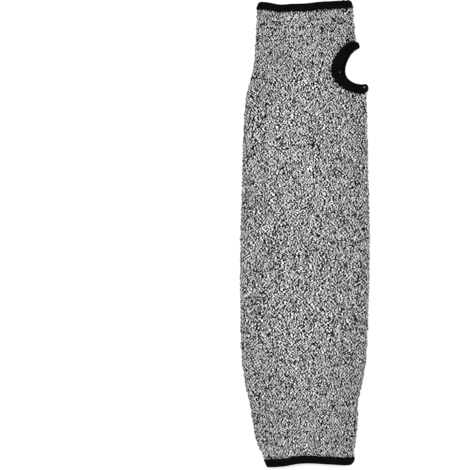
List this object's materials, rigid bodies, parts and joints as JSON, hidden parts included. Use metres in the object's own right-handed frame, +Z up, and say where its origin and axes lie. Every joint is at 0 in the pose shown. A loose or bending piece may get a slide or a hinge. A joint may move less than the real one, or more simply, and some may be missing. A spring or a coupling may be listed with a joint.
{
  "type": "cut resistant sleeve",
  "caption": "Knitted cut resistant arm sleeve lying flat, a tapered grey marl tube with a taped thumb hole and taped hand and upper arm ends.",
  "frame": {"origin": "on the surface that the sleeve lies on, under the middle of the sleeve's bounding box", "axes": "+Y along the sleeve towards the hand end, +Z up from the surface through the upper layer, +X towards the fold that the thumb hole is cut across"},
  "size_m": [0.1272, 0.4572, 0.02],
  "materials": {
    "knit": "matte fine knit in light and dark grey marled yarn",
    "tape": "matte black knitted tape, overlocked"
  },
  "bodies": {
    "root": {"knit_sleeve": "knit", "hand_end_binding": "tape", "thumb_hole_binding": "tape", "upper_arm_binding": "tape"}
  },
  "joints": []
}
